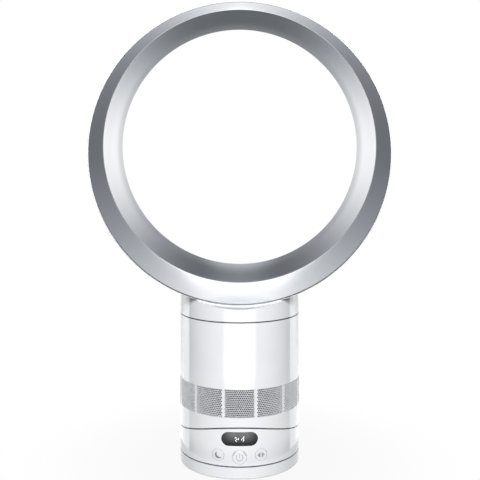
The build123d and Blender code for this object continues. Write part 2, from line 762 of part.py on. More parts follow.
# Four rubber mounts keep the motor's hum out of the casing.
housing_z = throat_top + running
mount_spots = polar_spots(mount_circle, 4, 45)
with BuildPart() as rubber_mounts:
    round_bar(mount_radius, duct_floor_top, housing_z, mount_spots)
save(rubber_mounts, "rubber_mounts")

spigot_bottom = neck_bottom - spigot_depth
housing_top = spigot_bottom - running - seal_thickness
seal_radius = spigot_radius - slip


def duct_profile(first_radius, last_radius, bottom, top):
    """A wall line that rises straight, swings outwards over the impeller's height and rises again."""
    Spline((first_radius, impeller_bottom), (last_radius, impeller_top), tangents=[(0, 1), (0, 1)])
    if bottom < impeller_bottom:
        Line((first_radius, bottom), (first_radius, impeller_bottom))
    if top > impeller_top:
        Line((last_radius, impeller_top), (last_radius, top))


# The impeller housing widens with the impeller and carries the diffuser above it.
with BuildPart() as impeller_housing:
    with BuildSketch(Plane.XZ):
        with BuildLine():
            duct_profile(inlet_radius, outlet_radius, housing_z, housing_top)
            Line((outlet_radius, housing_top), (outlet_radius + duct_wall, housing_top))
            duct_profile(inlet_radius + duct_wall, outlet_radius + duct_wall, housing_z, housing_top)
            Line((inlet_radius + duct_wall, housing_z), (inlet_radius, housing_z))
        make_face()
    revolve(axis=Axis.Z)
    ring(mount_circle + mount_radius, inlet_radius + duct_wall / 2, housing_z, housing_z + duct_wall)
    ring(seal_radius, outlet_radius + duct_wall / 2, housing_top - duct_wall, housing_top)
save(impeller_housing, "impeller_housing")

with BuildPart() as silencer_foam:
    ring(plate_radius, plate_radius - silencer_thickness, duct_floor_top, duct_floor_top + silencer_height)
save(silencer_foam, "silencer_foam")


def twisted_blade(inner, outer, bottom, top, thickness, sweep, steps=4):
    """A radial blade that turns about the upright axis as it rises."""
    with BuildPart() as blade:
        for step in range(steps + 1):
            share = step / steps
            level = Plane((0, 0, bottom + share * (top - bottom))).rotated((0, 0, sweep * share))
            with BuildSketch(level):
                with Locations(((inner + outer) / 2, 0)):
                    Rectangle(outer - inner, thickness)
        loft(ruled=True)
    return blade.part


# The diffuser's vanes take the swirl out of the air and hold the motor bucket in the middle.
diffuser_z = impeller_top + running + duct_wall
vane = twisted_blade(bucket_radius + slip + thin / 2, outlet_radius + shell, diffuser_z,
                     diffuser_z + diffuser_height, thin, vane_sweep)
with BuildPart() as diffuser:
    with PolarLocations(0, diffuser_vanes):
        add(vane)
    ring(outlet_radius - slip, 0, diffuser_z, diffuser_z + diffuser_height, Mode.INTERSECT)
    ring(bucket_radius + slip + thin, bucket_radius + slip, diffuser_z, diffuser_z + diffuser_height)
save(diffuser, "diffuser")

# The motor sits in a bucket and a domed cap, each with the seat of one bearing.
bucket_z = impeller_top + 1
bucket_top = bucket_z + bucket_height
bearing_hole = bearing_radius + journal
seat_radius = bearing_hole + bearing_seat_wall
lower_bearing_z = bucket_z + bucket_wall
upper_bearing_z = bucket_top + slip
cap_top = bucket_top + cap_height
with BuildPart() as motor_bucket:
    ring(bucket_radius, 0, bucket_z, bucket_top)
    fillet(motor_bucket.edges().group_by(Axis.Z)[0], radius=bucket_wall / 2)
    ring(bucket_radius - bucket_wall, 0, lower_bearing_z, bucket_top, Mode.SUBTRACT)
    ring(seat_radius, bearing_hole, lower_bearing_z, lower_bearing_z + bearing_height)
    ring(shaft_radius + bucket_wall, 0, bucket_z, lower_bearing_z, Mode.SUBTRACT)
save(motor_bucket, "motor_bucket")

with BuildPart() as motor_cap:
    with BuildSketch(Plane.XZ):
        with BuildLine():
            outside = (bucket_radius, bucket_top)
            inside = (bucket_radius - bucket_wall, bucket_top)
            Spline(outside, (shaft_radius, cap_top), tangents=[(0, 1), (-1, 0)])
            Line((shaft_radius, cap_top), (shaft_radius, cap_top - bucket_wall))
            Spline(inside, (shaft_radius, cap_top - bucket_wall), tangents=[(0, 1), (-1, 0)])
            Line(inside, outside)
        make_face()
    revolve(axis=Axis.Z)
    ring(seat_radius, bearing_hole, upper_bearing_z, cap_top - bucket_wall / 2)
save(motor_cap, "motor_cap")

with BuildPart() as motor_bearings:
    for bearing_z in (lower_bearing_z, upper_bearing_z):
        ring(bearing_radius, shaft_radius + journal, bearing_z, bearing_z + bearing_height)
save(motor_bearings, "motor_bearings")

rotor_z = lower_bearing_z + bearing_height + 1
stator_bore = rotor_radius + air_gap
stator_radius = bucket_radius - bucket_wall - slip
with BuildPart() as motor_stator:
    ring(stator_radius, stator_bore, rotor_z, rotor_z + rotor_height)
    sectors(stator_radius - stator_bore_wall, stator_bore + stator_bore_wall, 180 / stator_slots,
            stator_slots, 0, rotor_z, rotor_z + rotor_height, Mode.SUBTRACT)
save(motor_stator, "motor_stator")

# The top collar holds the loop: its groove takes the bayonet lugs, which enter from above through
# three notches and turn from there to the locked place.
lug_z = spigot_bottom + lip
groove_radius = spigot_radius + lug_reach + running
groove_play = 2 * 180 * running / (pi * groove_radius)
with BuildPart() as top_collar:
    ring(plate_radius, spigot_radius + running, collar_z, body_top)
    sectors(groove_radius, spigot_radius, lug_angle + bayonet_turn + groove_play, bayonet_lugs,
            -90 - bayonet_turn / 2, lug_z - running, lug_z + lug_height + running, Mode.SUBTRACT)
    sectors(groove_radius, spigot_radius, lug_angle + groove_play, bayonet_lugs, -90 - bayonet_turn,
            lug_z, body_top, Mode.SUBTRACT)
    round_bar(screw_hole, collar_z, body_top, collar_screw_spots, Mode.SUBTRACT)
    round_bar(screw_head_radius + slip, body_top - 2 * screw_head_height, body_top, collar_screw_spots,
              Mode.SUBTRACT)
save(top_collar, "top_collar")

with BuildPart() as collar_seal:
    ring(seal_radius, outlet_radius, housing_top, housing_top + seal_thickness)
save(collar_seal, "collar_seal")

with BuildPart() as body_screws:
    screw(lower_ledge_top, lower_ledge_z - screw_grip, pillar_spots)
    screw(body_top - 2 * screw_head_height, collar_z - shell, collar_screw_spots)
save(body_screws, "body_screws")

# ============================================ Impeller ===============================================

with BuildPart() as tip_envelope:
    with BuildSketch(Plane.XZ):
        with BuildLine():
            duct_profile(inlet_radius - tip_gap, outlet_radius - tip_gap, impeller_bottom, impeller_top)
            Polyline((outlet_radius - tip_gap, impeller_top), (0, impeller_top), (0, impeller_bottom),
                     (inlet_radius - tip_gap, impeller_bottom))
        make_face()
    revolve(axis=Axis.Z)

# A mixed-flow impeller: a flaring hub with nine twisted blades, trimmed to the housing.
impeller_blade = twisted_blade(shaft_radius + lip, outlet_radius + shell, impeller_bottom, impeller_top,
                               blade_thickness, blade_sweep)
with BuildPart() as impeller:
    with PolarLocations(0, impeller_blades):
        add(impeller_blade)
    add(tip_envelope.part, mode=Mode.INTERSECT)
    with BuildSketch(Plane.XZ):
        with BuildLine():
            duct_profile(hub_nose_radius, hub_rear_radius, impeller_bottom, impeller_top)
            Polyline((hub_rear_radius, impeller_top), (hub_rear_radius - duct_wall, impeller_top),
                     (hub_nose_radius, impeller_bottom + impeller_height / 2),
                     (shaft_radius, impeller_bottom + impeller_height / 2),
                     (shaft_radius, impeller_bottom), (hub_nose_radius, impeller_bottom))
        make_face()
    revolve(axis=Axis.Z)
    ring(shaft_radius, 0, impeller_bottom, impeller_top, Mode.SUBTRACT)
save(impeller, "impeller")

nut_height = 3.0
with BuildPart() as impeller_nut:
    with BuildSketch(Plane.XY.offset(impeller_bottom - nut_height)):
        RegularPolygon(2 * shaft_radius, 6)
        Circle(shaft_radius, mode=Mode.SUBTRACT)
    extrude(amount=nut_height)
save(impeller_nut, "impeller_nut")

with BuildPart() as motor_shaft:
    ring(shaft_radius, 0, impeller_bottom - nut_height - 1, upper_bearing_z + bearing_height + 1)
save(motor_shaft, "motor_shaft")

with BuildPart() as motor_rotor:
    ring(rotor_radius, shaft_radius, rotor_z, rotor_z + rotor_height)
save(motor_rotor, "motor_rotor")

# ============================================== Loop =================================================

# The loop's circles stand upright, square to Y. Its inner surfaces are centred on the inner axis, its
# outer edge on the lower outer axis, and the shell's centre moves from one to the other as it goes
# round the rear.
rim_y = silver_edge_y + silver_wall
rear_face_radius = rear_lip_radius + rear_face_width
ledge_radius = casing_radius + ledge_gap
neck_top = inner_axis_z - sqrt(rear_lip_radius**2 - base_radius**2)  # its skin ends in the casing's
loop_axis = Axis((0, 0, inner_axis_z), (0, 1, 0))


def disc(y, radius, centre_z):
    """One upright disc of the loop, to be extruded or lofted."""
    with BuildSketch(Plane.XZ.offset(-y)) as plan:
        with Locations((0, centre_z)):
            Circle(radius)
    return plan.sketch


def casing_body(wall):
    """The mass of the outer casing, a wall's thickness inside its skin, from the rim to the rear."""
    first_y = rim_y + wall
    depth = loop_rear_y - rim_y - 2 * wall
    sections = []
    for share in (0, 0.35, 0.6, 0.8, 0.93, 1):
        drop = 1 - sqrt(1 - share**3)
        radius = casing_radius - wall - (casing_radius - rear_face_radius) * drop
        sections.append(disc(first_y + depth * share, radius, outer_axis_z + eccentricity * drop))
    with BuildPart() as mass:
        loft(sections)
    return mass.part


def neck_body(wall):
    """The mass of the neck, a wall's thickness inside its skin: a ledge in front, a ramp behind."""
    with BuildPart() as mass:
        ring(base_radius - wall, 0, neck_bottom + wall, neck_top)
        extrude(disc(-base_radius, ledge_radius + wall, outer_axis_z), amount=-(base_radius + rim_y + wall),
                mode=Mode.SUBTRACT)
        loft([disc(loop_rear_y - wall, rear_face_radius + wall, inner_axis_z),
              disc(base_radius + 1, ledge_radius + wall, outer_axis_z)], ruled=True, mode=Mode.SUBTRACT)
    return mass.part


# The white outer casing with its neck is one hollow shell, open in front and along the rear slot.
with BuildPart() as loop_outer_casing:
    add(casing_body(0))
    add(neck_body(0))
    add(casing_body(shell), mode=Mode.SUBTRACT)
    add(neck_body(shell), mode=Mode.SUBTRACT)
    extrude(disc(rim_y, casing_radius - rim_flange_width, outer_axis_z), amount=-2 * shell,
            mode=Mode.SUBTRACT)
    extrude(disc(rim_y, rear_lip_radius, inner_axis_z), amount=-2 * base_radius, mode=Mode.SUBTRACT)
    ring(spigot_radius + slip, 0, neck_bottom, neck_bottom + shell, Mode.SUBTRACT)
save(loop_outer_casing, "loop_outer_casing")

# The silver inner casing: a band in front that runs from the edge to the ridge, and the flow surface
# from the ridge back to the throat, ending in a rounded nose at the air slot.
nose_y = loop_rear_y - shell - air_slot
middle_y = (ridge_y + silver_edge_y) / 2 - band_bulge
middle_radius = (ridge_radius + silver_edge_radius) / 2 + band_bulge
middle_axis_z = (inner_axis_z + outer_axis_z) / 2
waist_share = 0.85  # the wall thickens from here to the nose
with BuildPart() as loop_inner_casing:
    loft([disc(ridge_y, ridge_radius, inner_axis_z), disc(middle_y, middle_radius, middle_axis_z),
          disc(silver_edge_y, silver_edge_radius, outer_axis_z)])
    extrude(disc(silver_edge_y, silver_edge_radius, outer_axis_z), amount=-silver_wall)
    loft([disc(ridge_y + silver_wall, ridge_radius + silver_wall, inner_axis_z),
          disc(middle_y + silver_wall, middle_radius, middle_axis_z),
          disc(rim_y, silver_edge_radius - silver_wall, outer_axis_z)], mode=Mode.SUBTRACT)
    extrude(disc(ridge_y - 1, ridge_radius, inner_axis_z), amount=-(silver_wall + 2), mode=Mode.SUBTRACT)
    with BuildSketch(Plane.YZ):
        with BuildLine():
            ridge = (ridge_y, inner_axis_z + ridge_radius)
            ridge_back = (ridge_y, inner_axis_z + ridge_radius + silver_wall)
            throat = (throat_y, inner_axis_z + throat_radius)
            nose_back = (throat_y, inner_axis_z + throat_radius + nose_width)
            nose_middle = (throat_y, inner_axis_z + throat_radius + nose_width / 2)
            flow = Spline(ridge, throat, tangents=[(10, -1), (1, 0)])
            waist = flow @ waist_share + (0, silver_wall)
            Spline(ridge_back, waist, tangents=[flow % 0, flow % waist_share])
            Line(waist, nose_back)
            EllipticalCenterArc(nose_middle, nose_y - throat_y, nose_width / 2, -90, arc_size=180)
            Line(ridge_back, ridge)
        make_face()
    revolve(axis=loop_axis)
save(loop_inner_casing, "loop_inner_casing")

# Small webs hold the air slot open.
spacer_reach = rear_face_width - shell
with BuildPart() as slot_spacers:
    with BuildSketch(Plane.XZ.offset(-nose_y)):
        with Locations((0, inner_axis_z)):
            with PolarLocations(rear_lip_radius + spacer_reach / 2, spacer_count):
                Rectangle(spacer_reach, spacer_width)
    extrude(amount=-air_slot)
save(slot_spacers, "slot_spacers")

# The spigot hangs in the neck's floor by its flange; its lugs lock in the collar.
spigot_top = neck_bottom + shell
with BuildPart() as loop_spigot:
    ring(spigot_radius, spigot_radius - spigot_wall, spigot_bottom, spigot_top)
    ring(spigot_radius + 2 * spigot_wall, spigot_radius - spigot_wall, spigot_top, spigot_top + spigot_wall)
    sectors(spigot_radius + lug_reach, spigot_radius - spigot_wall, lug_angle, bayonet_lugs, -90, lug_z,
            lug_z + lug_height)
save(loop_spigot, "loop_spigot")
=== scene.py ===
import math

import bpy
import numpy as np
from mathutils import Matrix


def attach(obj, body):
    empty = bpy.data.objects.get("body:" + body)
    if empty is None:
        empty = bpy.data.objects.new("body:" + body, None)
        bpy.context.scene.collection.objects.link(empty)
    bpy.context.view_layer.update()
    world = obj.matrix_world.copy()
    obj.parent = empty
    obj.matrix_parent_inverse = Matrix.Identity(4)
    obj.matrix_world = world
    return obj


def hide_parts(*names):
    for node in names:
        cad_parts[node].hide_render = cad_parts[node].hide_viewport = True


# A bladeless desk fan, in metres and in the frame of its CAD model: +Z up, the front faces -Y, and
# the floor is at 0. The sections follow the fan as it is put together, from the loop's silver
# casing down to the pads.
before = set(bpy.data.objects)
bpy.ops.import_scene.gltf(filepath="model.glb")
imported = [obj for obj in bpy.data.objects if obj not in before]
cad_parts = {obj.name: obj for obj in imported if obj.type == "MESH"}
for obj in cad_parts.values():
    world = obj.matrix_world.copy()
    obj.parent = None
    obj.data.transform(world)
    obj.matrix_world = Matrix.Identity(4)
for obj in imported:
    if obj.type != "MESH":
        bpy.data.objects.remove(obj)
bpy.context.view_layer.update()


# ---- Camera --------------------------------------------------------------------------------------
# The photograph was taken level, from just over a metre in front of the fan's upright axis, at the
# height of the loop's middle. The shift lowers the frame to the foot without tilting the camera.
camera_distance = 1.0272
camera_height = 0.3773
camera_data = bpy.data.cameras.new("camera")
camera_data.lens = 62.27
camera_data.sensor_width = 36.0
camera_data.shift_x = 0.0008
camera_data.shift_y = -0.1816
camera = bpy.data.objects.new("camera", camera_data)
camera.location = (0, -camera_distance, camera_height)
camera.rotation_euler = (math.radians(90), 0, 0)
bpy.context.scene.collection.objects.link(camera)
bpy.context.scene.camera = camera
bpy.context.scene.view_settings.view_transform = "Standard"


# ---- Loop: silver inner casing -------------------------------------------------------------------
# One moulding with metallic silver paint. A band in front runs from the edge in to a ridge, and
# from there the flow surface leads back to the throat and ends in a rounded nose at the air slot.
axis_z = 0.385
edge_axis_z = 0.377
throat_radius = 0.1487
ridge_radius = 0.1584
edge_radius = 0.177
ridge_y = -0.064
edge_y = -0.056
throat_y = 0.024
nose_y = 0.0375
nose_width = 0.005
silver_wall = 0.002
ridge_round = 0.0007
band_middle = (-0.0601, 0.1678, 0.381)
flow_leaving = (10, -1, 0)
flow_arriving = (1, 0, 0)
loop_steps = 288
crisp_turn = math.radians(35)


def skin(name, grid, round_rows=True, round_columns=True):
    """A mesh over a grid of points. Neighbours in a row and in the next row span one face, and rows
    or columns run back to their start where asked. Edges with a sharp turn stay crisp."""
    rows, columns = grid.shape[:2]
    number = np.arange(rows * columns).reshape(rows, columns)
    if round_columns:
        number = np.vstack([number, number[:1]])
    if round_rows:
        number = np.hstack([number, number[:, :1]])
    cells = np.stack([number[:-1, :-1], number[:-1, 1:], number[1:, 1:], number[1:, :-1]], axis=-1)
    mesh = bpy.data.meshes.new(name)
    mesh.from_pydata(grid.reshape(-1, 3).tolist(), [], cells.reshape(-1, 4).tolist())
    mesh.shade_smooth()
    mesh.set_sharp_from_angle(angle=crisp_turn)
    piece = bpy.data.objects.new(name, mesh)
    bpy.context.scene.collection.objects.link(piece)
    return piece


def bend(start, leaving, end, arriving, steps):
    """A curve from start to end: the cubic with the given end points and end directions, each
    direction scaled to the distance between the points."""
    t = np.linspace(0, 1, steps)[:, None]
    start, leaving, end, arriving = (
        np.array(value, dtype=float) for value in (start, leaving, end, arriving))
    reach = np.linalg.norm(end - start)
    leaving = leaving / np.linalg.norm(leaving) * reach
    arriving = arriving / np.linalg.norm(arriving) * reach
    return (start * (1 + 2 * t) * (1 - t) ** 2 + leaving * t * (1 - t) ** 2
            + end * t**2 * (3 - 2 * t) - arriving * t**2 * (1 - t))


def arch(first, middle, last, steps):
    """The parabola through three points, reached at parameter 0, a half and 1."""
    t = np.linspace(0, 1, steps)[:, None]
    first, middle, last = (np.array(value) for value in (first, middle, last))
    return first * (1 - t) * (1 - 2 * t) + middle * 4 * t * (1 - t) + last * t * (2 * t - 1)


def toward(start, end, distance):
    """The point at the given distance from start on the way to end."""
    return start + (end - start) / np.linalg.norm(end - start) * distance


def hoop(profile, steps):
    """A profile of points (y, radius, centre height) carried round the Y direction: at turn t a
    point stands at x = radius sin t and z = centre height + radius cos t."""
    turn = np.linspace(0, 2 * np.pi, steps, endpoint=False)
    y, radius, centre = (profile[:, column, None] for column in range(3))
    return np.stack(np.broadcast_arrays(
        radius * np.sin(turn), y, centre + radius * np.cos(turn)), axis=-1)


ridge_point = (ridge_y, ridge_radius, axis_z)
band = arch((edge_y, edge_radius, edge_axis_z), band_middle, ridge_point, steps=25)
flow = bend(ridge_point, flow_leaving, (throat_y, throat_radius, axis_z), flow_arriving, steps=49)
ridge = bend(
    toward(band[-1], band[-2], ridge_round), band[-1] - band[-2],
    toward(flow[0], flow[1], ridge_round), flow[1] - flow[0], steps=7)

# The nose is half an ellipse from the flow surface round to the wall's back.
nose_turn = np.linspace(0, np.pi, 15)[1:-1, None]
nose = np.array([throat_y, throat_radius + nose_width / 2, axis_z]) + np.hstack([
    (nose_y - throat_y) * np.sin(nose_turn), -nose_width / 2 * np.cos(nose_turn), 0 * nose_turn])

# The wall's back, from the nose forward under the ridge and out to the edge.
back = np.array([
    (throat_y, throat_radius + nose_width, axis_z),
    (0.008, 0.1511, axis_z),
    (-0.020, 0.1535, axis_z),
    (-0.045, 0.1575, axis_z),
    (ridge_y + silver_wall, ridge_radius + silver_wall, axis_z),
    (-0.058, 0.1687, 0.381),
    (edge_y + silver_wall, edge_radius - silver_wall, edge_axis_z),
    (edge_y + silver_wall, edge_radius, edge_axis_z),
])
silver_profile = np.vstack([band[:-1], ridge, flow[1:], nose, back])
silver_casing = skin("silver_casing", hoop(silver_profile, loop_steps)[::-1])
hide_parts("loop_inner_casing")
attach(silver_casing, "loop")


class Link:
    """One socket of a material's nodes. Sums, differences, products, quotients and powers of links,
    or of a link and a number, become Math nodes; node() adds any other node."""

    def __init__(self, tree, socket=None):
        self.tree = tree
        self.socket = socket

    def node(self, kind, settings=None, sockets=None, out=0):
        """A node of this kind: its settings are set first, then its sockets get values or links."""
        made = self.tree.nodes.new(kind)
        for key, value in (settings or {}).items():
            setattr(made, key, value)
        for key, value in (sockets or {}).items():
            if isinstance(value, Link):
                self.tree.links.new(value.socket, made.inputs[key])
            else:
                made.inputs[key].default_value = value
        return Link(self.tree, made.outputs[out])

    def reckon(self, operation, first, second=0.0):
        """A Math node's result."""
        return self.node("ShaderNodeMath", {"operation": operation}, {0: first, 1: second})

    def __add__(self, other):
        return self.reckon("ADD", self, other)

    def __radd__(self, other):
        return self.reckon("ADD", other, self)

    def __sub__(self, other):
        return self.reckon("SUBTRACT", self, other)

    def __rsub__(self, other):
        return self.reckon("SUBTRACT", other, self)

    def __mul__(self, other):
        return self.reckon("MULTIPLY", self, other)

    def __rmul__(self, other):
        return self.reckon("MULTIPLY", other, self)

    def __truediv__(self, other):
        return self.reckon("DIVIDE", self, other)

    def __pow__(self, other):
        return self.reckon("POWER", self, other)

    def __neg__(self):
        return 0.0 - self

    def __abs__(self):
        return self.reckon("ABSOLUTE", self)

    def larger(self, other):
        return self.reckon("MAXIMUM", self, other)

    def smaller(self, other):
        return self.reckon("MINIMUM", self, other)

    def step(self, low, high):
        """0 below low and 1 above high, with an eased rise between; low may be the greater."""
        return self.node("ShaderNodeMapRange", {"interpolation_type": "SMOOTHSTEP"},
                         {"Value": self, "From Min": low, "From Max": high})

    def blend(self, first, second):
        """The first colour where this link is 0, the second where it is 1. A Mix node takes its
        two colours at sockets 6 and 7, and gives the mixed one at socket 2."""
        sockets = {"Factor": self}
        for key, colour in ((6, first), (7, second)):
            sockets[key] = colour if isinstance(colour, Link) else (*colour, 1)
        return self.node("ShaderNodeMix", {"data_type": "RGBA"}, sockets, out=2)


def place(tree, centre=(0, 0, 0)):
    """Object coordinates, moved so that centre is 0."""
    here = Link(tree).node("ShaderNodeTexCoord", out="Object")
    return here.node("ShaderNodeMapping", None,
                     {"Vector": here, "Location": tuple(-value for value in centre)})


def axes(where):
    """The x, y and z of a place or a direction."""
    return [where.node("ShaderNodeSeparateXYZ", None, {"Vector": where}, out=axis)
            for axis in "XYZ"]


noise_low = 0.32
noise_high = 0.68


def speckle(where, size, detail=2.0):
    """Cloudy noise from about 0.3 to 0.7 whose lumps are size metres across."""
    return where.node("ShaderNodeTexNoise", None,
                      {"Vector": where, "Scale": 1 / size, "Detail": detail})


def shades(where, dark, light, size, detail=2.0):
    """Colour that wanders between two shades in lumps of the given size, over all but the ends of
    the noise's range."""
    return speckle(where, size, detail).step(noise_low, noise_high).blend(dark, light)


def tinted(dark, light, size, detail=2.0):
    """The same, as a function of a node tree."""
    return lambda tree: shades(place(tree), dark, light, size, detail)


def wander(low, high, size):
    """Roughness that wanders between two values in lumps of the given size: low, plus the noise
    times the difference."""
    return lambda tree: low + (high - low) * speckle(place(tree), size)


def ripple(size, height, detail=1.0):
    """Bump of the given height, in metres, in lumps of the given size."""
    def make(tree):
        lumps = speckle(place(tree), size, detail)
        return lumps.node("ShaderNodeBump", None,
                          {"Height": lumps, "Strength": 1.0, "Distance": height})
    return make


def finish(name, colour, roughness, normal=None, constants=None):
    """A material. Colour, roughness and normal are functions of its node tree, and constants are
    set on the shader's own sockets."""
    material = bpy.data.materials.new(name)
    material.use_nodes = True
    tree = material.node_tree
    shader = tree.nodes["Principled BSDF"]
    for key, value in (constants or {}).items():
        shader.inputs[key].default_value = value
    for key, make in (("Base Color", colour), ("Roughness", roughness), ("Normal", normal)):
        if make:
            tree.links.new(make(tree).socket, shader.inputs[key])
    return material


# Sprayed metallic paint: flakes under a thin clear lacquer, with a faint orange peel.
flake_size = 0.0004
# Where the painted gap shade at the silver's outer edge begins, and where it is full, in from the
# edge.
gap_shade_start = 0.0005
gap_shade_full = 0.0003


def silver_with_painted_gap_shade(tree):
    """Silver flakes, with a painted shade line where the paint ends at the outer edge, against the
    white casing, standing in for the shadow in the gap: there the distance from the edge's axis
    nears the edge's radius."""
    x, _, z = axes(place(tree, centre=(0, 0, edge_axis_z)))
    # Painted shade: a dark line along the gap between the silver and the white casing.
    painted_gap_shade = ((x * x + z * z) ** 0.5).step(edge_radius - gap_shade_start, edge_radius - gap_shade_full)
    flakes = shades(place(tree), (0.80, 0.815, 0.85), (0.86, 0.87, 0.895), flake_size, detail=3.0)
    return painted_gap_shade.blend(flakes, (0.10, 0.10, 0.11))


silver_casing.data.materials.append(finish(
    "silver_paint",
    silver_with_painted_gap_shade,
    wander(0.17, 0.20, size=0.004),
    ripple(size=0.0025, height=0.000003),
    {"Metallic": 1.0},
))


# ---- Loop: white outer casing, its spacers and its spigot ----------------------------------------
# The white casing with its neck is one gloss ABS moulding, polished in the tool. Webs inside hold
# the air slot open, and the spigot under the neck turns into the collar of the body.
groove_heights = (0.0160, 0.1818)
# How near a groove the painted groove shade is full, and where it fades out.
groove_shade_full = 0.0005
groove_shade_end = 0.0011
saddle_axis_z = 0.2254
saddle_radius = 0.180
saddle_top = 0.09
saddle_end = 0.11


def white_with_painted_groove_shade(tree):
    """White that wanders a little, with painted shade within a millimetre of the grooves between
    the shells, standing in for the shadow in the grooves: two are level, and one lies on the
    saddle's cylinder along X, whose distance counts only below the saddle's top."""
    where = place(tree)
    _, y, z = axes(where)
    to_saddle = (y * y + (z - saddle_axis_z) ** 2.0) ** 0.5 - saddle_radius
    away = abs(to_saddle) + z.step(saddle_top, saddle_end)
    for height in groove_heights:
        away = away.smaller(abs(z - height))
    white = shades(where, (0.835, 0.845, 0.872), (0.855, 0.862, 0.885), size=0.03)
    # Painted shade: dark grey along the grooves, where shadow falls between the shells.
    return away.step(groove_shade_full, groove_shade_end).blend((0.22, 0.225, 0.24), white)


white_gloss = finish(
    "white_gloss",
    white_with_painted_groove_shade,
    wander(0.10, 0.17, size=0.012),
    ripple(size=0.0035, height=0.000004),
    {"IOR": 1.52, "Coat Weight": 1.0, "Coat Roughness": 0.05},
)
grey_plastic = finish(
    "grey_plastic",
    tinted((0.40, 0.41, 0.42), (0.46, 0.465, 0.475), size=0.004),
    wander(0.38, 0.52, size=0.002),
    ripple(size=0.0006, height=0.000012, detail=3.0),
)


def coat_nodes(material, *nodes):
    """Give carried-over CAD pieces their finish."""
    for node in nodes:
        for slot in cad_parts[node].material_slots:
            slot.material = material


coat_nodes(white_gloss, "loop_outer_casing", "slot_spacers")
coat_nodes(grey_plastic, "loop_spigot")


# ---- Body: casing and intake ---------------------------------------------------------------------
# The straight white casing is a gloss moulding with twelve windows. The intake is a sleeve whose
# panels fill them flush: fifteen rows of small holes, each row half a pitch along from the last.
casing_radius = 0.073
sheet_radius = 0.0722
sleeve_radius = 0.0703
sleeve_inside = 0.0688
sleeve_bottom = 0.06452
sleeve_top = 0.10650
sleeve_lap = 0.0003
panel_count = 12
panel_pitch = 2 * math.pi / panel_count
panel_turn = math.radians(28.27)
panel_bottom = 0.07221
panel_top = 0.10471
panel_rows = 15
panel_columns = 16
hole_radius = 0.00097
edge_land = 0.00013
post_turn = math.radians(3.2)
post_below = 0.002
post_above = 0.001


def shell_points(turn, height, radius):
    """Points round upright axes: x = radius sin turn, y = -radius cos turn, so 0 is the front."""
    return np.stack(np.broadcast_arrays(
        radius * np.sin(turn), -radius * np.cos(turn), height), axis=-1)


def perforated_panels():
    """Points and faces of all panels. Each hole is an octagon in the middle of a square cell whose
    corners and side middles are lattice points; eight faces lead from the cell's rim to the hole on
    the outside, eight line the hole, and eight lead back to the rim on the inside. The sheet is
    thin, and its border reaches back to the sleeve."""
    half_columns, half_rows = 2 * panel_columns, 2 * panel_rows
    land = edge_land / casing_radius
    turns = np.linspace(-panel_turn / 2 + land, panel_turn / 2 - land, half_columns + 1)
    heights = np.linspace(panel_bottom + edge_land, panel_top - edge_land, half_rows + 1)
    turns = np.concatenate([[-panel_turn / 2], turns, [panel_turn / 2]])
    heights = np.concatenate([[panel_bottom], heights, [panel_top]])
    lattice = np.stack(np.meshgrid(turns, heights), axis=-1).reshape(-1, 2)
    wide = len(turns)
    number = np.arange(len(lattice)).reshape(len(heights), wide)

    # The cells: in every other row they stand one lattice step along.
    cell_row, cell_column = np.meshgrid(
        2 + 2 * np.arange(panel_rows), 2 + np.arange(half_columns - 1), indexing="ij")
    wanted = (cell_column % 2) == (cell_row // 2 + 1) % 2
    cell_row, cell_column = cell_row[wanted], cell_column[wanted]
    around = np.array(
        [(-1, -1), (0, -1), (1, -1), (1, 0), (1, 1), (0, 1), (-1, 1), (-1, 0)])
    rim = number[cell_row[:, None] + around[:, 1], cell_column[:, None] + around[:, 0]]
    middle = lattice[number[cell_row, cell_column]]
    reach = around / np.linalg.norm(around, axis=1)[:, None] * hole_radius / (casing_radius, 1)
    holes = (middle[:, None, :] + reach).reshape(-1, 2)
    mouth = len(lattice) + np.arange(len(holes)).reshape(-1, 8)

    # The faces of one panel: its outside, the holes' lining, its border and its inside.
    filled = np.ones((len(heights) - 1, wide - 1), dtype=bool)
    for down, left in ((0, 0), (0, -1), (-1, 0), (-1, -1)):
        filled[cell_row + down, cell_column + left] = False
    plain = np.stack([number[:-1, :-1], number[:-1, 1:], number[1:, 1:], number[1:, :-1]],
                     axis=-1)[filled]
    onward = np.roll(np.arange(8), -1)
    front = np.stack([rim, rim[:, onward], mouth[:, onward], mouth], axis=-1).reshape(-1, 4)
    count = len(lattice) + len(holes)
    lining = np.stack([mouth, mouth[:, onward], mouth[:, onward] + count, mouth + count],
                      axis=-1).reshape(-1, 4)
    border = np.concatenate([number[0, :-1], number[:-1, -1], number[-1, :0:-1], number[:0:-1, 0]])
    ahead = np.roll(border, -1)
    sides = np.stack([border, border + count, ahead + count, ahead], axis=-1)
    inner = (np.concatenate([plain, front]) + count)[:, ::-1]
    faces = np.concatenate([plain, front, lining, sides, inner])

    # The points of every panel, outside and inside.
    flat = np.concatenate([lattice, holes])
    turn = flat[None, :, 0] + np.arange(panel_count)[:, None] * panel_pitch
    height = np.broadcast_to(flat[None, :, 1], turn.shape)
    inside = np.full(len(flat), sheet_radius)
    inside[border] = sleeve_radius
    points = np.stack([shell_points(turn, height, casing_radius),
                       shell_points(turn, height, inside)], axis=1)
    faces = faces[None] + 2 * count * np.arange(panel_count)[:, None, None]
    return points.reshape(-1, 3), faces.reshape(-1, 4)


def sleeve_blocks(turns, bottom, top, width, steps):
    """Points and faces of closed curved blocks of the sleeve: round each middle turn a sector of
    the given width between two heights, as the grid of its four long edges."""
    share = np.linspace(-0.5, 0.5, steps)
    turn = (np.asarray(turns)[:, None] + share * width)[:, :, None]
    radius = np.array([sleeve_radius, sleeve_radius, sleeve_inside, sleeve_inside])
    points = shell_points(turn, np.array([bottom, top, top, bottom]), radius)
    number = np.arange(len(turns) * steps * 4).reshape(len(turns), steps, 4)
    beside = np.roll(number, -1, axis=2)
    walls = np.stack([number[:, :-1], number[:, 1:], beside[:, 1:], beside[:, :-1]],
                     axis=-1).reshape(-1, 4)
    ends = np.concatenate([number[:, 0, :], number[:, -1, ::-1]])
    return points.reshape(-1, 3), np.concatenate([walls, ends])


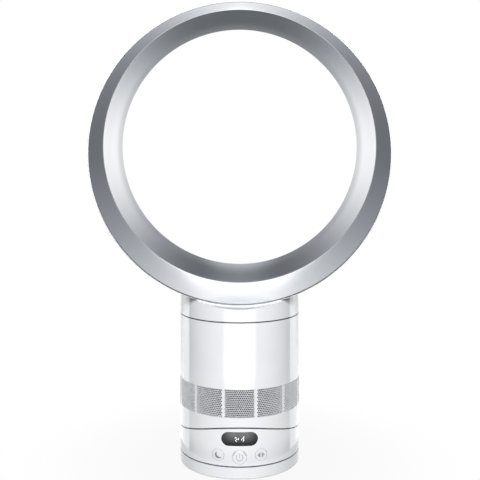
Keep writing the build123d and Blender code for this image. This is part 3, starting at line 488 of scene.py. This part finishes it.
# The panels, the posts between them, and the sleeve's hoops below and above, each in quarters.
quarter = math.pi / 2
intake_points, intake_faces = zip(
    perforated_panels(),
    sleeve_blocks(np.arange(panel_count) * panel_pitch + panel_pitch / 2,
                  panel_bottom - post_below, panel_top + post_above, post_turn, steps=6),
    sleeve_blocks(np.arange(4) * quarter, sleeve_bottom, panel_bottom + sleeve_lap, quarter,
                  steps=25),
    sleeve_blocks(np.arange(4) * quarter, panel_top - sleeve_lap, sleeve_top, quarter, steps=25))
shifts = np.cumsum([0] + [len(points) for points in intake_points[:-1]])
intake_mesh = bpy.data.meshes.new("intake_panels")
intake_mesh.from_pydata(
    np.concatenate(intake_points).tolist(), [],
    np.concatenate([faces + shift for faces, shift in zip(intake_faces, shifts)]).tolist())
intake_mesh.shade_smooth()
intake_mesh.set_sharp_from_angle(angle=math.radians(50))
intake_panels = bpy.data.objects.new("intake_panels", intake_mesh)
bpy.context.scene.collection.objects.link(intake_panels)
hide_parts("intake_grille")
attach(intake_panels, "upper_body")
rib_share = 0.438
rib_share_full = 0.446


def lilac_between_ribs(tree):
    """Lilac grey that turns white in the last millimetre beside each rib. The turn from the front,
    over the turn from one panel to the next, is a whole number at each panel's middle. Its distance
    from the nearest whole number, at most a half, tells how near a rib is."""
    where = place(tree)
    x, y, _ = axes(where)
    share = x.reckon("ARCTAN2", x, -y) / panel_pitch + 0.5
    off_middle = share.reckon("FRACT", share) - 0.5
    by_rib = abs(off_middle).step(rib_share, rib_share_full)
    lilac = shades(where, (0.62, 0.625, 0.655), (0.68, 0.685, 0.715), size=0.006)
    return by_rib.blend(lilac, (0.86, 0.865, 0.88))


intake_mesh.materials.append(finish(
    "intake_plastic",
    lilac_between_ribs,
    wander(0.34, 0.46, size=0.0015),
    ripple(size=0.0008, height=0.000008, detail=2.0),
))
coat_nodes(white_gloss, "body_casing")


# ---- Body: air path, motor and drive board -------------------------------------------------------
# Behind the intake the air goes through foam and a bellmouth into the impeller, and past the vanes
# that carry the motor's bucket. The mouldings are dark nylon, on rubber mounts, held by screws.
dark_plastic = finish(
    "dark_plastic",
    tinted((0.030, 0.030, 0.033), (0.050, 0.050, 0.054), size=0.005),
    wander(0.40, 0.58, size=0.0015),
    ripple(size=0.0005, height=0.000012, detail=3.0),
)
foam = finish(
    "foam",
    tinted((0.020, 0.020, 0.022), (0.095, 0.095, 0.10), size=0.0009, detail=3.0),
    wander(0.85, 1.0, size=0.001),
    ripple(size=0.0011, height=0.0006, detail=3.0),
)
black_rubber = finish(
    "black_rubber",
    tinted((0.014, 0.014, 0.015), (0.030, 0.030, 0.031), size=0.003),
    wander(0.62, 0.8, size=0.001),
    ripple(size=0.0005, height=0.00002, detail=3.0),
)
bright_steel = finish(
    "bright_steel",
    tinted((0.56, 0.56, 0.57), (0.66, 0.66, 0.67), size=0.0008),
    wander(0.18, 0.34, size=0.001),
    ripple(size=0.0004, height=0.000004),
    {"Metallic": 1.0},
)
part_black = finish(
    "part_black",
    tinted((0.018, 0.018, 0.020), (0.034, 0.034, 0.037), size=0.002),
    wander(0.28, 0.46, size=0.0008),
    ripple(size=0.0004, height=0.00001, detail=2.0),
)
sheet_pitch = 0.0005
wave_pitch = 0.31416


def stacked(tree):
    """Steel sheets on one another: a wave along Z with one period per sheet, as a Wave node of
    scale 1 has a period of 0.31416."""
    bands = Link(tree).node(
        "ShaderNodeTexWave", {"wave_type": "BANDS", "bands_direction": "Z"},
        {"Vector": place(tree), "Scale": wave_pitch / sheet_pitch, "Distortion": 0.4})
    return bands.step(0.35, 0.65).blend((0.16, 0.16, 0.17), (0.30, 0.30, 0.32))


motor_steel = finish(
    "motor_steel",
    stacked,
    wander(0.32, 0.5, size=0.002),
    ripple(size=0.0006, height=0.000006),
    {"Metallic": 0.9},
)


track_scale = 110.0


def tracks(tree):
    """Solder mask over copper: fine bands run along X and Z, and where either is high the green is
    lighter."""
    where = place(tree)
    along, across = (
        where.node("ShaderNodeTexWave", {"wave_type": "BANDS", "bands_direction": direction},
                   {"Vector": where, "Scale": track_scale, "Distortion": 6.0, "Detail": 1.0})
        for direction in "XZ")
    copper = along.step(0.72, 0.86).larger(across.step(0.78, 0.9))
    return copper.blend((0.010, 0.085, 0.035), (0.030, 0.17, 0.075))


board_green = finish(
    "board_green",
    tracks,
    wander(0.22, 0.36, size=0.001),
    ripple(size=0.0006, height=0.00001),
    {"Coat Weight": 0.3},
)
coat_nodes(dark_plastic, "tilt_plate", "inlet_bellmouth", "diffuser", "motor_bucket", "motor_cap",
           "top_collar")
coat_nodes(grey_plastic, "impeller_housing", "impeller")
coat_nodes(foam, "intake_foam", "silencer_foam")
coat_nodes(black_rubber, "rubber_mounts", "collar_seal")
coat_nodes(motor_steel, "motor_stator", "motor_rotor")
coat_nodes(bright_steel, "motor_bearings", "motor_shaft", "impeller_nut", "body_screws")
coat_nodes(board_green, "drive_board")
coat_nodes(part_black, "power_parts")


# ---- Control section: housing and the drive inside -----------------------------------------------
# The white housing is a gloss moulding with a saddle-shaped rim; it stands on the swivel plate,
# which turns on a bush and carries the drive motor, the boards and the curved cradle.
acetal = finish(
    "acetal",
    tinted((0.74, 0.73, 0.68), (0.80, 0.79, 0.74), size=0.006),
    wander(0.30, 0.42, size=0.002),
    ripple(size=0.0009, height=0.000008),
)
coat_nodes(white_gloss, "control_housing")
coat_nodes(grey_plastic, "tilt_cradle")
coat_nodes(dark_plastic, "swivel_plate", "display_light_box")
coat_nodes(acetal, "swivel_bush", "tilt_glides", "drive_pinion")
coat_nodes(bright_steel, "control_screws", "display_standoffs", "drive_spindle",
           "oscillation_motor")
coat_nodes(board_green, "control_board", "display_board")
coat_nodes(part_black, "button_switches")


# ---- Display lens and its symbols ----------------------------------------------------------------
# A capsule of smoked, polished acrylic, let flush into the housing. Behind it light up the speed,
# here a slanted 4, and a small fan with three blades.
display_z = 0.0481
digit_x = 0.0037
fan_x = -0.0035
ink_proud = 0.00002
ink_depth = 0.00005


def smoke_with_painted_sheen(tree):
    """Smoked black with a painted sheen that grows to a mid grey under the lens's upper edge, and
    nearly black again along the rim: the share is the height over the lens, times the distance in
    from the ends and the upper edge, of which a quarter stays on the rim."""
    x, _, z = axes(place(tree))
    height = z - display_z
    rise = height.step(-0.0075, 0.0075)
    inward = abs(x).step(0.0205, 0.008) * height.step(0.0080, 0.0068)
    # Painted sheen: lighter towards the lens's upper edge, weaker along the rim.
    painted_sheen = (0.85 + 0.3 * speckle(place(tree), 0.004)) * rise * (0.25 + 0.75 * inward)
    return painted_sheen.blend((0.002, 0.002, 0.003), (0.17, 0.17, 0.18))


smoked_lens = finish(
    "smoked_lens",
    smoke_with_painted_sheen,
    wander(0.06, 0.10, size=0.006),
    ripple(size=0.004, height=0.000002),
    {"Specular IOR Level": 0.32},
)
coat_nodes(smoked_lens, "display_lens")


def print_marks(name, centre, strokes, material, body):
    """A print on the shell. A stroke is two rows of points (x, z) that face each other; the skin
    between them is wrapped on the cylinder, y = -sqrt(radius^2 - x^2), a hair outside the plastic.
    Its faces look forward where the area from the first row to the second, summed over the quads as
    the cross product of a quad's two sides, is positive; otherwise the rows change places."""
    points, faces, start = [], [], 0
    for near, far in strokes:
        along, across = np.diff(near, axis=0), (np.asarray(far) - near)[:-1]
        area = np.sum(along[:, 0] * across[:, 1] - along[:, 1] * across[:, 0])
        flat = np.stack([near, far] if area > 0 else [far, near]) + centre
        y = -np.sqrt((casing_radius + ink_proud) ** 2 - flat[..., 0] ** 2)
        points.append(np.stack([flat[..., 0], y, flat[..., 1]], axis=-1).reshape(-1, 3))
        steps = flat.shape[1]
        low = start + np.arange(steps - 1)
        faces.append(np.stack([low, low + 1, low + steps + 1, low + steps], axis=-1))
        start += 2 * steps
    mesh = bpy.data.meshes.new(name)
    mesh.from_pydata(np.concatenate(points).tolist(), [], np.concatenate(faces).tolist())
    piece = bpy.data.objects.new(name, mesh)
    bpy.context.scene.collection.objects.link(piece)
    ink = piece.modifiers.new("ink", "SOLIDIFY")
    ink.thickness = ink_depth
    ink.offset = -1.0
    mesh.materials.append(material)
    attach(piece, body)


def stroke(start, end, width):
    """A straight stroke of the given width, as its two long sides: the ends, moved half the width
    square to the stroke's direction."""
    start, end = np.array(start, dtype=float), np.array(end, dtype=float)
    way = end - start
    side = np.array([-way[1], way[0]]) / np.linalg.norm(way) * width / 2
    return np.array([start + side, end + side]), np.array([start - side, end - side])


def arc(radius, start, end, steps=33):
    """Points of a circle from one angle to another, in degrees anticlockwise from the right."""
    turn = np.radians(np.linspace(start, end, steps))
    return np.stack([radius * np.cos(turn), radius * np.sin(turn)], axis=-1)


def ring(outer, width, start=0, end=360):
    """A stroke along an arc of the given outer radius."""
    return arc(outer, start, end), arc(outer - width, start, end)


blade_root = 0.00035
blade_reach = 0.0024
blade_start = 0.10
blade_sweep = 0.95
blade_chord = 0.75


def blade(turn):
    """A fan blade: its two edges are spirals of unlike sweep that leave the hub and meet at the
    tip. Along both, the radius grows with the sine of the share of the way, and the angle with its
    power 1.2; the trailing edge hangs back by a half sine wave."""
    share = np.linspace(0, 1, 15)
    radius = blade_root + blade_reach * np.sin(share * np.pi / 2)
    lead = math.radians(turn) + blade_start + blade_sweep * share**1.2
    trail = lead - blade_chord * np.sin(share * np.pi)
    return tuple(np.stack([radius * np.cos(edge), radius * np.sin(edge)], axis=-1)
                 for edge in (lead, trail))


lit_symbol = finish(
    "lit_symbol",
    tinted((0.90, 0.92, 0.95), (0.98, 0.99, 1.0), size=0.002),
    wander(0.3, 0.4, size=0.002),
    constants={"Emission Color": (0.93, 0.96, 1.0, 1), "Emission Strength": 0.55},
)
print_marks("display_digit", (digit_x, display_z), (
    stroke((0.0014, 0.0031), (-0.0018, -0.0010), width=0.00050),
    stroke((-0.0020, -0.0011), (0.0019, -0.0011), width=0.00050),
    stroke((0.0014, 0.0031), (0.0004, -0.0031), width=0.00055),
), lit_symbol, "control_section")
print_marks("display_fan", (fan_x, display_z), (
    blade(112), blade(232), blade(352), ring(0.00050, width=0.0004),
), lit_symbol, "control_section")


# ---- Buttons -------------------------------------------------------------------------------------
# Three white caps, cut to the curve of the housing, each in a fine round gap. Grey ink on them
# shows power, the sleep timer's moon, and the swing to and fro; two grey arcs on the power cap's
# upper rim are painted shade.
power_z = 0.0274
side_x = 0.0248
side_z = 0.0287
glyph_line = 0.00085
shade_arc_radius = 0.0080
shade_arc_width = 0.0010
moon_turn = 225
pale_ink_and_painted_shade = finish(
    "pale_ink_and_painted_shade",
    tinted((0.42, 0.425, 0.44), (0.48, 0.485, 0.50), size=0.0008),
    wander(0.4, 0.55, size=0.001),
    ripple(size=0.0003, height=0.000003),
)
grey_ink = finish(
    "grey_ink",
    tinted((0.25, 0.255, 0.27), (0.30, 0.305, 0.32), size=0.0008),
    wander(0.4, 0.55, size=0.001),
    ripple(size=0.0003, height=0.000003),
)
coat_nodes(white_gloss, "power_button", "sleep_timer_button", "oscillation_button")
print_marks("power_print_with_painted_shade", (0.0, power_z - 0.0003), (
    ring(0.0043, glyph_line, 122, 418),
    stroke((0, 0.0046), (0, -0.0003), glyph_line),
    # Painted shade: two grey arcs on the cap's upper rim, where its dish falls into shadow.
    ring(shade_arc_radius, shade_arc_width, 14, 56),
    ring(shade_arc_radius, shade_arc_width, 124, 166),
), pale_ink_and_painted_shade, "power_button")

# The moon: an arc of its outline, and one of the circle that cuts it, moved up and to the right.
print_marks("sleep_print", (-side_x + 0.0002, side_z), (
    (arc(0.0041, moon_turn - 111, moon_turn + 111),
     arc(0.00393, moon_turn - 75, moon_turn + 75) + 0.00179),
), grey_ink, "sleep_timer_button")

# Two arrowheads that point away from each other, and a fine line between them.
print_marks("swing_print", (side_x, side_z), (
    (((-0.0042, 0.00006), (-0.0010, 0.0032)), ((-0.0042, -0.00006), (-0.0010, -0.0032))),
    (((0.0042, 0.00006), (0.0010, 0.0032)), ((0.0042, -0.00006), (0.0010, -0.0032))),
    stroke((0, 0.0031), (0, -0.0031), width=0.00022),
), grey_ink, "oscillation_button")


# ---- Foot ----------------------------------------------------------------------------------------
# A shallow white dish with a deck, standing on six rubber discs; a rubber sleeve at the rear takes
# the cord. The deck carries the gear and the glide ring that the control section turns on.
coat_nodes(white_gloss, "base_foot")
coat_nodes(dark_plastic, "foot_deck")
coat_nodes(acetal, "fixed_gear", "glide_ring")
coat_nodes(bright_steel, "retaining_ring", "foot_screws")
coat_nodes(black_rubber, "foot_pads", "cable_grommet")


# ---- Studio: floor, background, cards and lamps --------------------------------------------------
# A pale seamless floor under a white room. Paint and gloss also see a light tent, like the one that
# is put round a chrome piece: dim beside and before the fan, bright from above, and white behind.
floor_lines = np.linspace(-6, 6, 25)
floor = skin("floor", np.stack(np.broadcast_arrays(
    floor_lines[None, :], floor_lines[:, None], 0.0), axis=-1), False, False)


def seen(tree):
    """1 for rays from the camera and for reflected and transmitted ones, 0 for the light itself."""
    camera_ray, glossy_ray, through_ray = (
        Link(tree).node("ShaderNodeLightPath", out=f"Is {kind} Ray")
        for kind in ("Camera", "Glossy", "Transmission"))
    return camera_ray.larger(glossy_ray.larger(through_ray))


# The floor shows white, a little darker round the foot, while the light itself meets a grey.
foot_shade = 0.07
floor_paint = bpy.data.materials.new("floor_paint")
floor_paint.use_nodes = True
tree = floor_paint.node_tree
tree.nodes.remove(tree.nodes["Principled BSDF"])
away = place(tree).node("ShaderNodeVectorMath", {"operation": "LENGTH"}, {0: place(tree)},
                        out="Value")
glow = seen(tree) * (1 - foot_shade + foot_shade * away.step(0.08, 0.30))
lit_floor = Link(tree).node("ShaderNodeBsdfDiffuse", None, {"Color": (0.20, 0.20, 0.20, 1)})
white_floor = Link(tree).node("ShaderNodeEmission", None,
                              {"Color": (1, 1, 1, 1), "Strength": 1.0})
mixed = Link(tree).node("ShaderNodeMixShader", None, {0: glow, 1: lit_floor, 2: white_floor})
tree.links.new(mixed.socket, tree.nodes["Material Output"].inputs["Surface"])
floor.data.materials.append(floor_paint)

room = bpy.data.worlds.new("room")
bpy.context.scene.world = room
room.use_nodes = True
tree = room.node_tree
fill_light = 0.03
strength = fill_light + (1 - fill_light) * seen(tree)
tree.links.new(strength.socket, tree.nodes["Background"].inputs["Strength"])
tree.nodes["Background"].inputs["Color"].default_value = (1, 1, 1, 1)


def studio_card(name, grid, brightness):
    """A round card that only gloss and metal see: it glows as brightness says for each place on it,
    a little bluer where it is dim."""
    card = skin(name, grid, round_columns=False)
    for kind in ("camera", "diffuse", "shadow", "transmission", "volume_scatter"):
        setattr(card, f"visible_{kind}", False)
    cloth = bpy.data.materials.new(name)
    cloth.use_nodes = True
    tree = cloth.node_tree
    tree.nodes.remove(tree.nodes["Principled BSDF"])
    level = brightness(tree)
    hue = level.step(0.1, 1.0).blend((0.94, 1.0, 1.07), (1.0, 1.0, 1.0))
    glow = Link(tree).node("ShaderNodeEmission", None, {"Color": hue, "Strength": level})
    tree.links.new(glow.socket, tree.nodes["Material Output"].inputs["Surface"])
    card.data.materials.append(cloth)


tent_dim = 0.18
tent_middle_z = 0.38
floor_rise = 0.885
table_share = 0.554
table_notch = 0.05
table_soft = 0.035
white_slope = 0.42


def tent_light(tree):
    """Dim at the level of the loop's middle. The rise of the direction from there adds light by its
    powers, up towards the zenith and down towards the floor, where it is taken over its amount
    20 cm off the axis; the floor under the foot adds none. Before the fan lies a lit table,
    brighter from a third of a metre on, whose half width is 0.554 of the distance, less 5 cm up to
    0.4 m. Behind y = 0.42 |x| - 0.067 it is white, with brighter low strips at the sides."""
    from_loop = place(tree, centre=(0, 0, tent_middle_z))
    rise = axes(from_loop.node("ShaderNodeVectorMath", {"operation": "NORMALIZE"},
                               {0: from_loop}))[2]
    down = (-rise).larger(0.0) / floor_rise
    up = rise.larger(0.0)
    x, y, z = axes(place(tree))
    side, ahead = abs(x), -y
    half_width = table_share * ahead - table_notch * ahead.step(0.48, 0.36)
    table = ((half_width - side).step(-table_soft, table_soft)
             * ahead.step(0.13, 0.20) * ahead.step(1.24, 0.95))
    off_foot = (x * x + y * y).step(0.012, 0.036)
    floor_glow = (0.45 * down**1.5 + 0.48 * down**5.0) * off_foot
    front = tent_dim + floor_glow + 0.36 * up**2.2 + 0.44 * up**9.0
    front = front + table * (0.20 + 1.50 * ahead.step(0.30, 0.37))
    behind = (y - white_slope * side).step(-0.071, -0.063)
    strips = (y - side).step(0.3, -0.3) * z.step(0.5, 0.25)
    return front + behind * (1.0 + 0.9 * strips - front)


# The tent's profile, from the floor by the foot out, up and over: pairs of height and radius.
card_steps = 72
tent_turn = np.linspace(0, 2 * np.pi, card_steps, endpoint=False)
tent_profile = np.array([
    (0.002, 0.12), (0.002, 0.5), (0.002, 0.9), (0.003, 1.25), (0.3, 1.25),
    (0.6, 1.25), (0.9, 1.2), (1.25, 1.0), (1.55, 0.6), (1.7, 0.01),
])
studio_card("tent", shell_points(tent_turn, tent_profile[:, :1], tent_profile[:, 1:]), tent_light)


card_y = 0.16
card_dim = 0.12
card_white = 1.42
never_zero = 0.004


def round_light(tree):
    """Seen from the loop's middle, white at the left and right, dim above and below, grey at the
    foot: the share of white is |x| over the radius, to the power 3.8, and the grey comes in where
    z over the radius nears -1. Further out the white falls and the dim rises."""
    x, _, z = axes(place(tree, centre=(0, 0, axis_z)))
    radius = (x * x + z * z) ** 0.5
    across = (abs(x) / (radius + never_zero)) ** 3.8
    outer = radius.step(0.070, 0.105)
    dim = card_dim + 0.10 * outer + 0.33 * (z / (radius + never_zero)).step(-0.90, -0.99)
    return dim + across * (card_white - 0.60 * outer - dim)


card_profile = np.array([(card_y, radius, axis_z) for radius in (0.001, 0.05, 0.10, 0.15)])
studio_card("round_card", hoop(card_profile, card_steps), round_light)


def lamp(name, spot, aim, width, height, watts):
    """A soft box at spot that faces aim; it lights the fan but isn't mirrored in it."""
    box = bpy.data.lights.new(name, "AREA")
    box.shape = "RECTANGLE"
    box.size = width
    box.size_y = height
    box.energy = watts
    ahead = np.array(aim, dtype=float) - spot
    ahead /= np.linalg.norm(ahead)
    across = np.cross(ahead, (0, 0.02, 1))
    across /= np.linalg.norm(across)
    turn = np.eye(4)
    turn[:3] = np.stack([across, np.cross(across, ahead), -ahead, spot], axis=-1)
    made = bpy.data.objects.new(name, box)
    made.matrix_world = Matrix(turn.tolist())
    made.visible_glossy = False
    bpy.context.scene.collection.objects.link(made)


fan_middle = (0, 0, 0.25)
lamp("front_box", (0.0, -2.2, 1.95), fan_middle, width=1.5, height=1.0, watts=106)
lamp("left_box", (-1.45, 2.1, 0.65), fan_middle, width=0.8, height=1.2, watts=30)
lamp("right_box", (1.45, 2.1, 0.65), fan_middle, width=0.8, height=1.2, watts=30)
lamp("rear_box", (0.0, 2.4, 0.7), fan_middle, width=1.2, height=0.8, watts=16)
lamp("top_box", (0.0, -0.3, 2.6), (0, 0, 0.2), width=1.4, height=1.4, watts=3)
